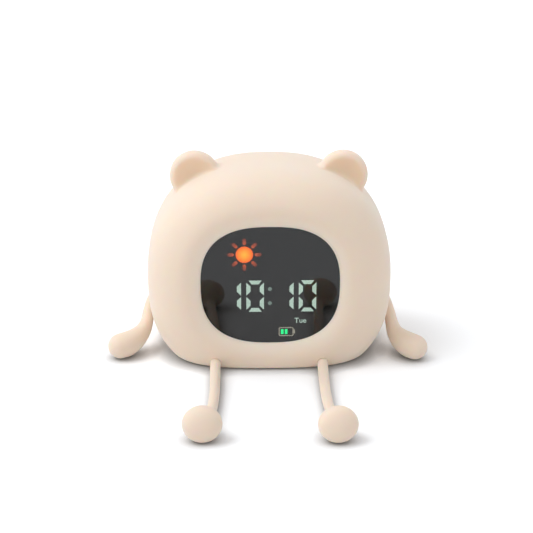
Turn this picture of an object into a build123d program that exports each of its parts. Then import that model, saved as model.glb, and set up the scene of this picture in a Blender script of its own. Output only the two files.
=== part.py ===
from build123d import *
import os
from math import copysign, cos, pi, sin, sqrt

# A bedside sleep trainer clock: a soft silicone body with two ears, a dark display window,
# floppy arms and legs, and a control panel at the back. Millimetres, Z up, the front looks
# towards -Y, and the origin is the centre of the flat base.

# Body form, measured over the silicone skin
body_half_width = 70.0
body_half_depth = 49.0
widest_level = 44.8
upper_half_height = 66.2
lower_half_height = 61.0
front_lift = 6.0
upper_power = 2.35
lower_power = 2.65
front_power = 3.6
rear_power = 3.0
front_shares = (-0.99, -0.94, -0.84, -0.67, -0.4)
rear_shares = (0.0, 0.4, 0.7, 0.86, 0.974)
section_steps = 20
base_round = 5.5

# Walls and the gaps between pieces
skin_wall = 2.5
housing_wall = 2.0
fit_gap = 0.2
seat_gap = 0.1
joint_gap = 0.4
overrun = 20.0

# Ears
ear_side = 42.3
ear_level = 102.1
ear_radius = 14.1
ear_front_y = -6.0
ear_thick = 11.0
ear_round = 4.5
dish_radius = 11.0
dish_depth = 2.7

# Display window
oval_steps = 20
window_half_width = 38.3
window_half_height = 33.7
window_level = 50.2
window_power = 2.6
window_round = 8.5
lens_margin = 3.6
lens_face_y = -41.4
lens_thick = 2.0
gasket_thick = 0.6
gasket_width = 1.6
well_wall = 1.8
well_margin = 1.8
reflector_gap = 0.3
reflector_depth = 7.0
board_thick = 1.6
guide_depth = 2.5

# Lit figures behind the window
digit_height = 18.85
digit_width = 9.85
stroke = 2.33
mitre_gap = 1.28
split_gap = 0.4
mitre_share = 0.7
digit_level = 43.3
pair_centres = ((-21.26, -8.46), (8.16, 20.88))
digit_pairs = ("10", "10")
colon_x = -0.23
colon_radius = 1.15
colon_rise = 4.27
sun_x = -14.38
sun_level = 68.1
sun_radius = 4.83
ray_start = 5.72
ray_end = 9.6
ray_width = 1.95
ray_count = 8
charge_x = 8.99
charge_level = 21.6
charge_width = 8.4
charge_height = 5.5
charge_line = 0.6
charge_round = 1.0
nub_width = 0.8
nub_height = 2.4
bar_width = 1.5
bar_height = 3.0
bar_pitch = 2.2
led_size = (1.6, 0.8, 0.7)

# Control panel at the back
panel_half_width = 38.0
panel_half_height = 30.0
panel_level = 46.0
panel_power = 3.0
panel_round = 2.0
panel_margin = 2.0
panel_face_y = 42.5
panel_thick = 2.0
ring_depth = 5.0
ring_margin = 1.8
ring_width = 5.0
grille_radius = 0.9
grille_pitch = 3.2
grille_rings = 3
speaker_level = 55.0
speaker_radius = 13.5
speaker_flange = 1.2
speaker_neck = 7.0
speaker_depth = 6.5
speaker_wall = 0.8
magnet_radius = 8.0
magnet_depth = 5.0
dome_radius = 4.0

# Buttons and their switches
button_names = ("sound", "minus", "light", "plus", "clock")
button_pitch = 11.0
button_level = 34.0
button_radius = 3.8
button_proud = 1.0
button_edge = 0.6
button_flange = 4.6
flange_thick = 0.9
button_gap = 0.3
switch_size = 6.0
switch_height = 3.4
plunger_radius = 1.6
plunger_length = 2.0
plunger_proud = 1.0
plunger_room = 1.0
plunger_gap = 0.3
button_sink = 0.2

# Control board and charging socket
control_half_width = 27.5
control_low = 22.6
control_high = 40.0
control_thick = 1.2
post_x = 14.0
post_level = 25.9
post_radius = 2.3
usb_level = 25.6
usb_width = 8.94
usb_height = 3.26
usb_wall = 0.35
usb_back = 0.8
usb_inset = 0.3
tongue_width = 6.6
tongue_height = 0.7
tongue_short = 1.2
cable_width = 9.0
cable_thick = 0.4
cable_x = -12.0
cable_drop = 4.0
plug_height = 3.0
plug_depth = 2.4
chip_spots = ((7.0, 34.0, 10.0), (21.0, 33.0, 6.0), (0.0, 26.0, 5.0))
chip_share = 0.5
chip_height = 1.1

# Screws
screw_head_radius = 2.2
screw_head_height = 1.6
screw_shank_radius = 1.1
screw_length = 4.5
slot_width = 0.7
slot_depth = 0.7
case_screw_head_radius = 2.9
case_screw_head_height = 2.2
case_screw_shank_radius = 1.4
case_screw_length = 14.0
case_screw_seat_y = 4.0
case_screw_spots = ((52.0, 32.0), (47.0, 80.0))
boss_radius = 4.2
panel_screw_inset = 2.8

# Battery
cell_radius = 9.2
cell_half_length = 32.5
cell_y = 15.0
cell_level = 16.0
cell_rim = 0.6
contact_thick = 0.8
contact_radius = 5.0
tray_wall = 1.8
tray_height = 8.5
tray_end_height = 15.0

# Limbs, each station being x, y, z and radius along the centre line
ball_shares = (0.3, 0.6, 0.85, 0.96)
limb_flange = 4.4
limb_flange_thick = 1.4
leg_left_root = ((-31.0, -35.2, 8.9, 2.95), (-31.0, -42.0, 4.6, 2.95), (-31.1, -51.0, 3.5, 2.95))
leg_left_run = ((-31.1, -51.0, 3.5, 2.95), (-31.0, -70.3, 3.2, 2.9), (-31.4, -86.4, 3.15, 2.85),
                (-32.3, -100.5, 3.4, 2.8), (-33.8, -112.6, 4.4, 2.8), (-35.5, -121.6, 6.4, 2.8))
leg_right_root = ((29.8, -35.2, 8.9, 2.95), (29.7, -41.8, 4.6, 2.95), (29.5, -51.0, 3.5, 2.95))
leg_right_run = ((29.5, -51.0, 3.5, 2.95), (29.3, -69.7, 3.2, 2.9), (29.5, -85.5, 3.15, 2.85),
                 (30.2, -99.5, 3.4, 2.8), (31.2, -112.5, 4.4, 2.8), (32.0, -122.5, 6.4, 2.8))
foot_left = (-36.9, -131.0)
foot_right = (33.0, -132.5)
foot_long = 10.6
foot_short = 9.7
sole_reach = 8.2
sole_tilt_share = 0.28
sole_round = 4.5
arm_left_root = ((-60.4, 7.8, 26.5, 3.2), (-67.4, 6.8, 25.0, 3.3), (-70.7, -0.2, 18.0, 3.4))
arm_left_run = ((-70.7, -0.2, 18.0, 3.4), (-71.6, -7.2, 14.2, 3.8), (-73.8, -14.3, 11.4, 4.8),
                (-77.9, -20.0, 9.0, 6.2), (-82.2, -23.7, 7.7, 7.2), (-85.8, -25.7, 7.3, 7.2))
arm_right_root = ((60.4, 6.6, 26.5, 3.2), (67.4, 5.6, 25.0, 3.3), (70.8, -1.9, 17.8, 3.4))
arm_right_run = ((70.8, -1.9, 17.8, 3.4), (71.9, -9.9, 13.6, 3.8), (73.2, -16.8, 10.8, 4.8),
                 (76.1, -22.6, 8.8, 6.2), (80.0, -27.5, 7.7, 7.2), (83.4, -30.4, 7.3, 7.2))

# Levels that follow from the sizes above
sole_way = Vector(0, -sqrt(1 - sole_tilt_share**2), sole_tilt_share)
housing_inset = skin_wall + fit_gap
cavity_inset = housing_inset + housing_wall
lens_back_y = lens_face_y + lens_thick
seat_y = lens_back_y + gasket_thick
reflector_face_y = lens_back_y + reflector_gap
display_board_y = reflector_face_y + reflector_depth
display_back_y = display_board_y + board_thick
panel_inner_y = panel_face_y - panel_thick
ring_front_y = panel_inner_y - ring_depth
flange_face_y = panel_inner_y - button_sink
stem_top_y = flange_face_y - flange_thick
sides = (-1, 1)


def upright(y):
    """The upright plane at depth y, looking towards the front."""
    return Plane.XZ.offset(-y)


def section_points(inset, share):
    """Points round the body's cross-section at one share of its half depth."""
    depth_power = front_power if share < 0 else rear_power
    swell = (1 - abs(share) ** depth_power) ** (1 / depth_power)
    half_width = (body_half_width - inset) * swell
    top = (upper_half_height - inset) * swell + (front_lift * share**2 if share < 0 else 0)
    bottom = (lower_half_height - inset) * swell
    points = []
    for step in range(section_steps):
        turn = 2 * pi * step / section_steps - pi / 2
        height, power = (top, upper_power) if sin(turn) > 0 else (bottom, lower_power)
        x = half_width * copysign(abs(cos(turn)) ** (2 / power), cos(turn))
        z = widest_level + height * copysign(abs(sin(turn)) ** (2 / power), sin(turn))
        points.append((x, z))
    return points


def body_form(inset):
    """The rounded body with its flat base, drawn in by inset on every side."""
    with BuildPart() as form:
        for share in front_shares + rear_shares:
            with BuildSketch(upright(share * (body_half_depth - inset))):
                with BuildLine():
                    Spline(*section_points(inset, share), periodic=True)
                make_face()
        loft()
        split(bisect_by=Plane.XY.offset(inset), keep=Keep.TOP)
        fillet(form.edges().group_by(Axis.Z)[0], base_round - inset)
    return form.part


def oval_points(half_width, half_height, level, power):
    """Points round a soft-cornered oval."""
    points = []
    for step in range(oval_steps):
        turn = 2 * pi * step / oval_steps - pi / 2
        x = half_width * copysign(abs(cos(turn)) ** (2 / power), cos(turn))
        z = level + half_height * copysign(abs(sin(turn)) ** (2 / power), sin(turn))
        points.append((x, z))
    return points


def window_block(margin, rear_y, front_y):
    """A block of the display window's outline, grown by margin."""
    outline = oval_points(window_half_width + margin, window_half_height + margin, window_level, window_power)
    with BuildPart() as block:
        with BuildSketch(upright(rear_y)):
            with BuildLine():
                Spline(*outline, periodic=True)
            make_face()
        extrude(amount=rear_y - front_y)
    return block.part


def panel_block(margin, rear_y, front_y):
    """A block of the rear opening's outline, grown by margin."""
    outline = oval_points(panel_half_width + margin, panel_half_height + margin, panel_level, panel_power)
    with BuildPart() as block:
        with BuildSketch(upright(rear_y)):
            with BuildLine():
                Spline(*outline, periodic=True)
            make_face()
        extrude(amount=rear_y - front_y)
    return block.part


def behind(form, front_y):
    """The part of a body form behind a flat front."""
    with BuildPart() as rest:
        add(form)
        split(bisect_by=upright(front_y), keep=Keep.BOTTOM)
    return rest.part


def corner_spots(half_width, half_height, level, power):
    """Four spots, one at each corner of a soft-cornered oval."""
    reach = 0.5 ** (1 / power)
    return [(x * half_width * reach, level + z * half_height * reach) for x in sides for z in sides]


def screws(spots, seat_y, outward, head_radius, head_height, shank_radius, length):
    """Pan-head screws standing along Y, their heads towards the outward side."""
    with BuildPart() as group:
        with BuildSketch(upright(seat_y)):
            with Locations(*spots):
                Circle(head_radius)
        extrude(amount=-outward * head_height)
        with BuildSketch(upright(seat_y)):
            with Locations(*spots):
                Circle(shank_radius)
        extrude(amount=outward * length)
        with BuildSketch(upright(seat_y + outward * head_height)):
            with Locations(*spots):
                Rectangle(head_radius + slot_width, slot_width)
                Rectangle(slot_width, head_radius + slot_width)
        extrude(amount=outward * slot_depth, mode=Mode.SUBTRACT)
    return group.part


def rounded_stations(stations, grow):
    """The stations of a limb, with extra ones that close each end as a ball."""
    runs = []
    for tip, second in ((stations[0], stations[1]), (stations[-1], stations[-2])):
        out = Vector(*tip[:3]) - Vector(*second[:3])
        radius = tip[3] + grow
        run = []
        for share in ball_shares:
            spot = Vector(*tip[:3]) + out.normalized() * radius * sin(share * pi / 2)
            run.append((spot.X, spot.Y, spot.Z, radius * cos(share * pi / 2)))
        runs.append(run)
    middle = [(x, y, z, radius + grow) for x, y, z, radius in stations]
    return runs[0][::-1] + middle + runs[1]


def limb_form(stations, grow):
    """A round limb through its stations, closed by a ball at each end."""
    whole = rounded_stations(stations, grow)
    with BuildPart() as limb:
        for place, (x, y, z, radius) in enumerate(whole):
            before = whole[max(place - 1, 0)]
            after = whole[min(place + 1, len(whole) - 1)]
            heading = (after[0] - before[0], after[1] - before[1], after[2] - before[2])
            with BuildSketch(Plane(origin=(x, y, z), x_dir=(0, 0, 1), z_dir=heading)):
                Circle(radius)
        loft()
    return limb.part


def save(piece, name):
    """Name one finished piece and write it out."""
    piece.label = name
    export_step(piece, f"parts/{name}.step")


os.makedirs("parts", exist_ok=True)
outer_form = body_form(0)
skin_inside = body_form(skin_wall)
housing_form = body_form(housing_inset)
cavity_form = body_form(cavity_inset)
limb_roots = {"arm_root_left": arm_left_root, "arm_root_right": arm_right_root,
              "leg_root_left": leg_left_root, "leg_root_right": leg_right_root}
root_cuts = [limb_form(stations, seat_gap) for stations in limb_roots.values()]

# The silicone skin, one moulding with the ears, open at the window and at the back
with BuildPart() as ear:
    with BuildSketch(upright(ear_front_y + ear_thick)):
        Circle(ear_radius)
    extrude(amount=ear_thick)
    fillet(ear.edges(), ear_round)
    ball = (dish_radius**2 + dish_depth**2) / (2 * dish_depth)
    with Locations((0, ear_front_y + dish_depth - ball, 0)):
        Sphere(ball, mode=Mode.SUBTRACT)
with BuildPart() as silicone_skin:
    add(outer_form)
    for side in sides:
        with Locations((side * ear_side, 0, ear_level)):
            add(ear.part)
    add(window_block(0, display_board_y, -body_half_depth - overrun), mode=Mode.SUBTRACT)
    fillet(silicone_skin.edges(Select.LAST).filter_by_position(Axis.Y, -body_half_depth, lens_face_y - seat_gap),
           window_round)
    add(panel_block(0, body_half_depth + overrun, ring_front_y), mode=Mode.SUBTRACT)
    fillet(silicone_skin.edges(Select.LAST).filter_by_position(Axis.Y, panel_face_y + seat_gap, body_half_depth),
           panel_round)
    add(behind(skin_inside, lens_face_y - seat_gap), mode=Mode.SUBTRACT)
    for cut in root_cuts:
        add(cut, mode=Mode.SUBTRACT)
save(silicone_skin.part, "silicone_skin")

# The two plastic housings, meeting on the middle plane, with their screw bosses
boss_spots = [(side * x, z) for side in sides for x, z in case_screw_spots]
flat_front_form = behind(housing_form, lens_face_y)
with BuildPart() as front_housing:
    add(flat_front_form)
    add(behind(cavity_form, lens_face_y + housing_wall), mode=Mode.SUBTRACT)
    add(window_block(lens_margin + well_wall, display_board_y, lens_face_y))
    with BuildSketch(upright(0)):
        with Locations(*boss_spots):
            Circle(boss_radius)
    extrude(amount=body_half_depth)
    add(flat_front_form, mode=Mode.INTERSECT)
    add(window_block(lens_margin + seat_gap, seat_y, -body_half_depth - overrun), mode=Mode.SUBTRACT)
    add(window_block(well_margin, display_board_y + overrun, -body_half_depth), mode=Mode.SUBTRACT)
    with BuildSketch(upright(0)):
        with Locations(*boss_spots):
            Circle(case_screw_shank_radius)
    extrude(amount=case_screw_length - case_screw_seat_y + seat_gap, mode=Mode.SUBTRACT)
    ring_middle = (lens_margin + well_wall + well_margin) / 2
    display_spots = corner_spots(window_half_width + ring_middle, window_half_height + ring_middle,
                                 window_level, window_power)
    with BuildSketch(upright(display_board_y)):
        with Locations(*display_spots):
            Circle(screw_shank_radius)
    extrude(amount=screw_length, mode=Mode.SUBTRACT)
    for cut in root_cuts:
        add(cut, mode=Mode.SUBTRACT)
    split(bisect_by=Plane.XZ, keep=Keep.TOP)
save(front_housing.part, "front_housing")

with BuildPart() as rear_housing:
    add(housing_form)
    add(cavity_form, mode=Mode.SUBTRACT)
    add(panel_block(panel_margin + ring_margin, panel_inner_y, ring_front_y))
    with BuildSketch(upright(body_half_depth)):
        with Locations(*boss_spots):
            Circle(boss_radius)
    extrude(amount=body_half_depth)
    add(housing_form, mode=Mode.INTERSECT)
    add(panel_block(panel_margin + seat_gap, body_half_depth + overrun, panel_inner_y), mode=Mode.SUBTRACT)
    add(panel_block(-ring_width, body_half_depth, ring_front_y - overrun), mode=Mode.SUBTRACT)
    with BuildSketch(upright(body_half_depth)):
        with Locations(*boss_spots):
            Circle(case_screw_head_radius + seat_gap)
    extrude(amount=body_half_depth - case_screw_seat_y, mode=Mode.SUBTRACT)
    with BuildSketch(upright(case_screw_seat_y)):
        with Locations(*boss_spots):
            Circle(case_screw_shank_radius)
    extrude(amount=case_screw_seat_y, mode=Mode.SUBTRACT)
    panel_spots = corner_spots(panel_half_width - panel_screw_inset, panel_half_height - panel_screw_inset,
                               panel_level, panel_power)
    with BuildSketch(upright(panel_inner_y)):
        with Locations(*panel_spots):
            Circle(screw_shank_radius)
    extrude(amount=screw_length - panel_thick, mode=Mode.SUBTRACT)
    for cut in root_cuts:
        add(cut, mode=Mode.SUBTRACT)
    split(bisect_by=Plane.XZ, keep=Keep.BOTTOM)
save(rear_housing.part, "rear_housing")

save(screws(boss_spots, case_screw_seat_y, 1, case_screw_head_radius, case_screw_head_height,
            case_screw_shank_radius, case_screw_length), "housing_screws")

# The dark window and the gasket it rests on
save(window_block(lens_margin, lens_back_y, lens_face_y), "display_lens")
with BuildPart() as lens_gasket:
    add(window_block(lens_margin, seat_y, lens_back_y))
    add(window_block(lens_margin - gasket_width, seat_y, lens_back_y), mode=Mode.SUBTRACT)
save(lens_gasket.part, "lens_gasket")


def stroke_shapes():
    """The seven strokes of one digit, as outlines about its centre, in the order a to g."""
    w = digit_width / 2
    h = digit_height / 2
    g = mitre_gap
    s = stroke
    inner = w - g - mitre_share * s
    top = [(-w + g, h), (w - g, h), (inner, h - s), (-inner, h - s)]
    upper = [(w, h - g), (w, split_gap), (w - s, s + split_gap), (w - s, h - s - g)]
    lower = [(x, -z) for x, z in upper]
    middle = [(-w + g, 0), (-w + g + s / 2, s / 2), (w - g - s / 2, s / 2),
              (w - g, 0), (w - g - s / 2, -s / 2), (-w + g + s / 2, -s / 2)]
    bottom = [(x, -z) for x, z in top]
    return [top, upper, lower, bottom, [(-x, z) for x, z in lower], [(-x, z) for x, z in upper], middle]


lit_strokes = {"0": (0, 1, 2, 3, 4, 5), "1": (1, 2)}
lit_outlines = []
dark_outlines = []
for centres, figures in zip(pair_centres, digit_pairs):
    for centre, figure in zip(centres, figures):
        for order, shape in enumerate(stroke_shapes()):
            outline = [(centre + x, digit_level + z) for x, z in shape]
            (lit_outlines if order in lit_strokes[figure] else dark_outlines).append(outline)


def guide_plates(outlines):
    """Light guides of the given outlines, flush with the reflector's face."""
    with BuildPart() as plates:
        for outline in outlines:
            with BuildSketch(upright(reflector_face_y + guide_depth)):
                with BuildLine():
                    Polyline(*outline, close=True)
                make_face()
        extrude(amount=guide_depth)
    return plates.part


lit_guides = guide_plates(lit_outlines)
dark_guides = guide_plates(dark_outlines)
guide_plane = upright(reflector_face_y + guide_depth)
with BuildPart() as colon_dots:
    with BuildSketch(guide_plane):
        with Locations((colon_x, digit_level - colon_rise), (colon_x, digit_level + colon_rise)):
            Circle(colon_radius)
    extrude(amount=guide_depth)
with BuildPart() as sun_disc:
    with BuildSketch(guide_plane):
        with Locations((sun_x, sun_level)):
            Circle(sun_radius)
    extrude(amount=guide_depth)
with BuildPart() as sun_rays:
    with BuildSketch(guide_plane):
        with Locations((sun_x, sun_level)):
            with PolarLocations((ray_start + ray_end) / 2, ray_count):
                SlotOverall(ray_end - ray_start, ray_width)
    extrude(amount=guide_depth)
with BuildPart() as charge_outline:
    with BuildSketch(guide_plane):
        with Locations((charge_x, charge_level)):
            RectangleRounded(charge_width, charge_height, charge_round)
            RectangleRounded(charge_width - 2 * charge_line, charge_height - 2 * charge_line,
                             charge_round - charge_line, mode=Mode.SUBTRACT)
        with Locations((charge_x + charge_width / 2, charge_level)):
            Rectangle(nub_width, nub_height, align=(Align.MIN, Align.CENTER))
    extrude(amount=guide_depth)
with BuildPart() as charge_bars:
    with BuildSketch(guide_plane):
        with Locations((charge_x, charge_level)):
            with GridLocations(bar_pitch, 0, 3, 1):
                Rectangle(bar_width, bar_height)
    extrude(amount=guide_depth)
guide_parts = {"digit_strokes_lit": lit_guides, "digit_strokes_dark": dark_guides, "colon_dots": colon_dots.part,
               "sun_disc": sun_disc.part, "sun_rays": sun_rays.part, "charge_outline": charge_outline.part,
               "charge_bars": charge_bars.part}
for name, piece in guide_parts.items():
    save(piece, name)

# The reflector block that holds the light guides, and the board and lamps behind it
with BuildPart() as display_reflector:
    add(window_block(well_margin - fit_gap, display_board_y, reflector_face_y))
    for piece in guide_parts.values():
        add(piece, mode=Mode.SUBTRACT)
    lamp_spots = [(sum(x for x, z in outline) / len(outline), sum(z for x, z in outline) / len(outline))
                  for outline in lit_outlines + dark_outlines]
    lamp_spots += [(colon_x, digit_level + rise) for rise in (-colon_rise, colon_rise)]
    lamp_spots += [(sun_x, sun_level)]
    lamp_spots += [(charge_x + step * bar_pitch, charge_level) for step in (-1, 0, 1)]
    with BuildSketch(upright(display_board_y)):
        with Locations(*lamp_spots):
            Rectangle(led_size[0] + fit_gap, led_size[0] + fit_gap)
    extrude(amount=reflector_depth - guide_depth, mode=Mode.SUBTRACT)
save(display_reflector.part, "display_reflector")

with BuildPart() as display_leds:
    with BuildSketch(upright(display_board_y)):
        with Locations(*lamp_spots):
            Rectangle(led_size[0], led_size[1])
    extrude(amount=led_size[2])
save(display_leds.part, "display_leds")

with BuildPart() as display_board:
    add(window_block(lens_margin + well_wall, display_back_y, display_board_y))
    with BuildSketch(upright(display_back_y)):
        with Locations(*display_spots):
            Circle(screw_shank_radius)
    extrude(amount=board_thick, mode=Mode.SUBTRACT)
save(display_board.part, "display_board")
save(screws(display_spots, display_back_y, 1, screw_head_radius, screw_head_height,
            screw_shank_radius, screw_length), "display_screws")

# The control panel, with its grille, button holes, socket hole and board posts
button_spots = [((step - 2) * button_pitch, button_level) for step in range(len(button_names))]
post_spots = [(side * post_x, post_level) for side in sides]
control_face_y = stem_top_y - plunger_proud - switch_height
control_back_y = control_face_y - control_thick
with BuildPart() as rear_panel:
    add(panel_block(panel_margin, panel_face_y, panel_inner_y))
    with BuildSketch(upright(panel_inner_y)):
        with Locations(*post_spots):
            Circle(post_radius)
    extrude(amount=panel_inner_y - control_face_y)
    with BuildSketch(upright(panel_face_y)):
        with Locations(*button_spots):
            Circle(button_radius + button_gap)
        with Locations((0, usb_level)):
            SlotOverall(usb_width + 2 * fit_gap, usb_height + 2 * fit_gap)
        with Locations(*panel_spots):
            Circle(screw_shank_radius)
        with Locations((0, speaker_level)):
            Circle(grille_radius)
            for ring in range(1, grille_rings + 1):
                with PolarLocations(ring * grille_pitch, 6 * ring):
                    Circle(grille_radius)
    extrude(amount=panel_thick, mode=Mode.SUBTRACT)
    with BuildSketch(upright(control_face_y)):
        with Locations(*post_spots):
            Circle(screw_shank_radius)
    extrude(amount=-screw_length, mode=Mode.SUBTRACT)
save(rear_panel.part, "rear_panel")
save(screws(panel_spots, panel_face_y, 1, screw_head_radius, screw_head_height,
            screw_shank_radius, screw_length), "panel_screws")

# The speaker glued behind the grille
speaker_seat_y = panel_inner_y - speaker_flange
speaker_base_y = speaker_seat_y - speaker_depth
with BuildPart() as speaker_frame:
    with BuildSketch(upright(panel_inner_y)):
        with Locations((0, speaker_level)):
            Circle(speaker_radius)
    extrude(amount=speaker_flange)
    with BuildSketch(upright(speaker_seat_y)):
        with Locations((0, speaker_level)):
            Circle(speaker_radius - speaker_wall)
    with BuildSketch(upright(speaker_base_y)):
        with Locations((0, speaker_level)):
            Circle(speaker_neck)
    loft()
    with BuildSketch(upright(panel_inner_y)):
        with Locations((0, speaker_level)):
            Circle(speaker_radius - 2 * speaker_wall)
    with BuildSketch(upright(speaker_base_y + speaker_wall)):
        with Locations((0, speaker_level)):
            Circle(speaker_neck - speaker_wall)
    loft(mode=Mode.SUBTRACT)
save(speaker_frame.part, "speaker_frame")
with BuildPart() as speaker_cone:
    with BuildSketch(upright(speaker_seat_y)):
        with Locations((0, speaker_level)):
            Circle(speaker_radius - 4 * speaker_wall)
    with BuildSketch(upright(speaker_base_y + 2 * speaker_wall)):
        with Locations((0, speaker_level)):
            Circle(dome_radius)
    loft()
    with BuildSketch(upright(speaker_seat_y)):
        with Locations((0, speaker_level)):
            Circle(speaker_radius - 5 * speaker_wall)
    with BuildSketch(upright(speaker_base_y + 3 * speaker_wall)):
        with Locations((0, speaker_level)):
            Circle(dome_radius - speaker_wall)
    loft(mode=Mode.SUBTRACT)
    with BuildSketch(upright(speaker_base_y + speaker_wall)):
        with Locations((0, speaker_level)):
            Circle(dome_radius)
    extrude(amount=-speaker_wall)
save(speaker_cone.part, "speaker_cone")
with BuildPart() as speaker_magnet:
    with BuildSketch(upright(speaker_base_y)):
        with Locations((0, speaker_level)):
            Circle(magnet_radius)
    extrude(amount=magnet_depth)
    fillet(speaker_magnet.edges().group_by(Axis.Y)[0], speaker_wall)
save(speaker_magnet.part, "speaker_magnet")

# The control board behind the buttons, with its chips, switches and charging socket
with BuildPart() as control_board:
    with BuildSketch(upright(control_face_y)):
        with Locations((0, (control_low + control_high) / 2)):
            Rectangle(2 * control_half_width, control_high - control_low)
        with Locations(*post_spots):
            Circle(screw_shank_radius, mode=Mode.SUBTRACT)
    extrude(amount=control_thick)
save(control_board.part, "control_board")
save(screws(post_spots, control_back_y, -1, screw_head_radius, screw_head_height,
            screw_shank_radius, screw_length), "board_screws")
with BuildPart() as control_chips:
    for x, z, size in chip_spots:
        with BuildSketch(upright(control_back_y)):
            with Locations((x, z)):
                Rectangle(size, size * chip_share)
    extrude(amount=chip_height)
save(control_chips.part, "control_chips")
with BuildPart() as switch_cases:
    with BuildSketch(upright(control_face_y)):
        with Locations(*button_spots):
            Rectangle(switch_size, switch_size)
    extrude(amount=-switch_height)
    with BuildSketch(upright(control_face_y + switch_height)):
        with Locations(*button_spots):
            Circle(plunger_radius + plunger_gap)
    extrude(amount=plunger_length - plunger_proud + plunger_room, mode=Mode.SUBTRACT)
save(switch_cases.part, "switch_cases")

# Five push buttons, each with the switch plunger that moves with it
for name, spot in zip(button_names, button_spots):
    with BuildPart() as button:
        with BuildSketch(upright(stem_top_y)):
            with Locations(spot):
                Circle(button_radius)
        extrude(amount=stem_top_y - panel_face_y - button_proud)
        fillet(button.edges().group_by(Axis.Y)[-1], button_edge)
        with BuildSketch(upright(flange_face_y)):
            with Locations(spot):
                Circle(button_flange)
        extrude(amount=flange_thick)
    save(button.part, f"button_{name}")
    with BuildPart() as plunger:
        with BuildSketch(upright(stem_top_y)):
            with Locations(spot):
                Circle(plunger_radius)
        extrude(amount=plunger_length)
    save(plunger.part, f"plunger_{name}")

# The charging socket: a thin steel shell with a tongue inside
usb_mouth_y = panel_face_y - usb_inset
with BuildPart() as usb_socket:
    with BuildSketch(upright(usb_mouth_y)):
        with Locations((0, usb_level)):
            SlotOverall(usb_width, usb_height)
    extrude(amount=usb_mouth_y - control_face_y)
    with BuildSketch(upright(usb_mouth_y)):
        with Locations((0, usb_level)):
            SlotOverall(usb_width - 2 * usb_wall, usb_height - 2 * usb_wall)
    extrude(amount=usb_mouth_y - control_face_y - usb_back, mode=Mode.SUBTRACT)
save(usb_socket.part, "usb_socket")
with BuildPart() as usb_tongue:
    with BuildSketch(upright(usb_mouth_y - tongue_short)):
        with Locations((0, usb_level)):
            Rectangle(tongue_width, tongue_height)
    extrude(amount=usb_mouth_y - tongue_short - control_face_y - usb_back)
save(usb_tongue.part, "usb_tongue")

# The battery cell, its end contacts and the tray it lies in
with BuildPart() as battery_cell:
    with BuildSketch(Plane.YZ.offset(-cell_half_length)):
        with Locations((cell_y, cell_level)):
            Circle(cell_radius)
    extrude(amount=2 * cell_half_length)
    fillet(battery_cell.edges().filter_by(GeomType.CIRCLE), cell_rim)
save(battery_cell.part, "battery_cell")
with BuildPart() as battery_contacts:
    for side in sides:
        with BuildSketch(Plane.YZ.offset(side * (cell_half_length + contact_thick / 2) - contact_thick / 2)):
            with Locations((cell_y, cell_level)):
                Circle(contact_radius)
        extrude(amount=contact_thick)
save(battery_contacts.part, "battery_contacts")
tray_inner = cell_half_length + contact_thick
tray_outer = tray_inner + tray_wall
with BuildPart() as battery_tray:
    with BuildSketch(Plane.XY.offset(cavity_inset)):
        with Locations((0, cell_y)):
            Rectangle(2 * tray_outer, 2 * (cell_radius + tray_wall))
    extrude(amount=tray_height)
    for side in sides:
        with BuildSketch(Plane.XY.offset(cavity_inset)):
            with Locations((side * (tray_inner + tray_wall / 2), cell_y)):
                Rectangle(tray_wall, 2 * cell_radius)
        extrude(amount=tray_end_height)
    with BuildSketch(Plane.YZ.offset(-tray_inner)):
        with Locations((cell_y, cell_level)):
            Circle(cell_radius + seat_gap)
    extrude(amount=2 * tray_inner, mode=Mode.SUBTRACT)
save(battery_tray.part, "battery_tray")

# The flat cable that joins the two boards, with its two plugs
cable_level = (control_low + control_high) / 2
with BuildPart() as cable_plugs:
    for face_y in (display_back_y + plug_depth, control_back_y):
        with BuildSketch(upright(face_y)):
            with Locations((cable_x, cable_level)):
                Rectangle(cable_width + plug_height, plug_height)
        extrude(amount=plug_depth)
save(cable_plugs.part, "cable_plugs")
start = Vector(cable_x, display_back_y + plug_depth, cable_level)
end = Vector(cable_x, control_back_y - plug_depth, cable_level)
with BuildPart() as flat_cable:
    with BuildLine():
        Spline(start, (start + end) / 2 - Vector(0, 0, cable_drop), end, tangents=((0, 1, 0), (0, 1, 0)))
    with BuildSketch(upright(start.Y)):
        with Locations((cable_x, cable_level)):
            Rectangle(cable_width, cable_thick)
    sweep()
save(flat_cable.part, "flat_cable")

# Limb roots, fixed through the skin and housing and held by a flange inside
for name, stations in limb_roots.items():
    inner, bend, hinge = stations
    heading = tuple(b - a for a, b in zip(inner[:3], bend[:3]))
    with BuildPart() as root:
        add(limb_form(stations, 0))
        with BuildSketch(Plane(origin=inner[:3], z_dir=heading)):
            Circle(limb_flange)
        extrude(amount=-limb_flange_thick)
        with Locations(hinge[:3]):
            Sphere(hinge[3] + joint_gap, mode=Mode.SUBTRACT)
    save(root.part, name)

# Arms with paddle hands, and legs with rounded feet
save(limb_form(arm_left_run, 0), "arm_left")
save(limb_form(arm_right_run, 0), "arm_right")
for name, stations, foot in (("leg_left", leg_left_run, foot_left), ("leg_right", leg_right_run, foot_right)):
    centre = Vector(foot[0], foot[1], foot_short)
    with BuildPart() as leg:
        add(limb_form(stations, 0))
        with BuildSketch(Plane(origin=centre, x_dir=(1, 0, 0), z_dir=(0, 1, 0))):
            Ellipse(foot_long, foot_short)
            Rectangle(2 * foot_long, foot_short, align=(Align.CENTER, Align.MIN), mode=Mode.INTERSECT)
        revolve(axis=Axis(centre, (1, 0, 0)))
        split(bisect_by=Plane(origin=centre + sole_way * sole_reach, z_dir=sole_way), keep=Keep.BOTTOM)
        fillet(leg.faces().sort_by(Axis(centre, sole_way))[-1].edges(), sole_round)
    save(leg.part, name)
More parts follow.
